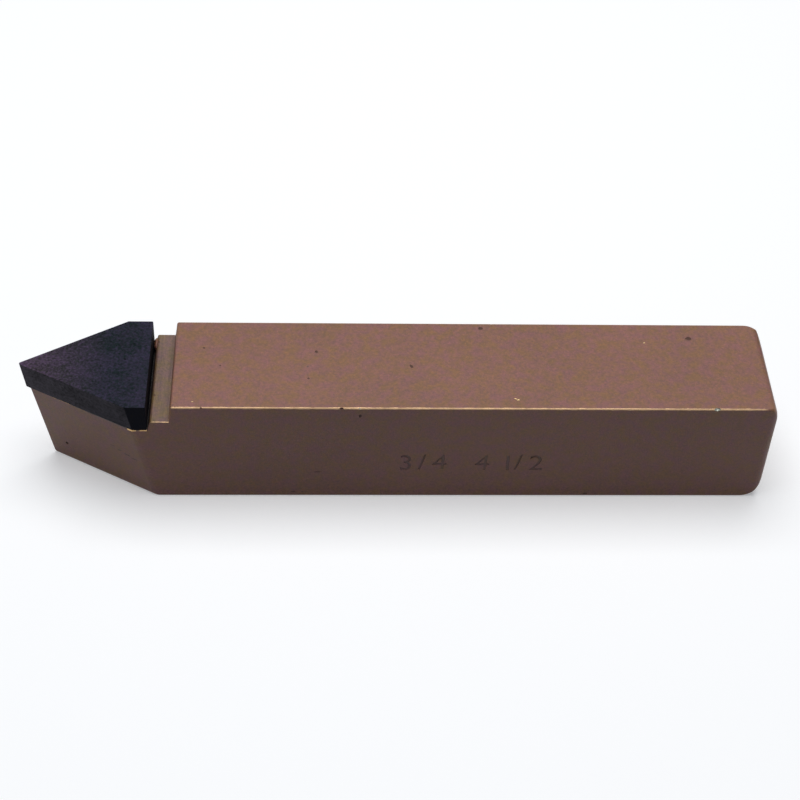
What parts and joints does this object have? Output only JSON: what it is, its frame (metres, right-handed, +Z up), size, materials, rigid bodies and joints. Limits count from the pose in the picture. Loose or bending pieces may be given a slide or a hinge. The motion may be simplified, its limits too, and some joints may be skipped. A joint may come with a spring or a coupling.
{
  "type": "brazed carbide tool bit",
  "caption": "Square-shank lathe tool bit with a flat carbide tip brazed into a seat and ground to a 60 degree V for threading.",
  "frame": {"origin": "middle of the space the tool takes up, on its flat base", "axes": "+X along the shank from the cutting point to the rear end, +Z up out of the top face, +Y to the far side"},
  "size_m": [0.1143, 0.019, 0.0191],
  "materials": {
    "bronze_paint": "satin bronze metallic paint over steel, worn bright along the edges",
    "carbide": "dark ground tungsten carbide",
    "braze": "solidified filler metal"
  },
  "bodies": {
    "root": {"shank": "bronze_paint", "carbide_tip": "carbide", "braze_layer": "braze"}
  },
  "joints": []
}
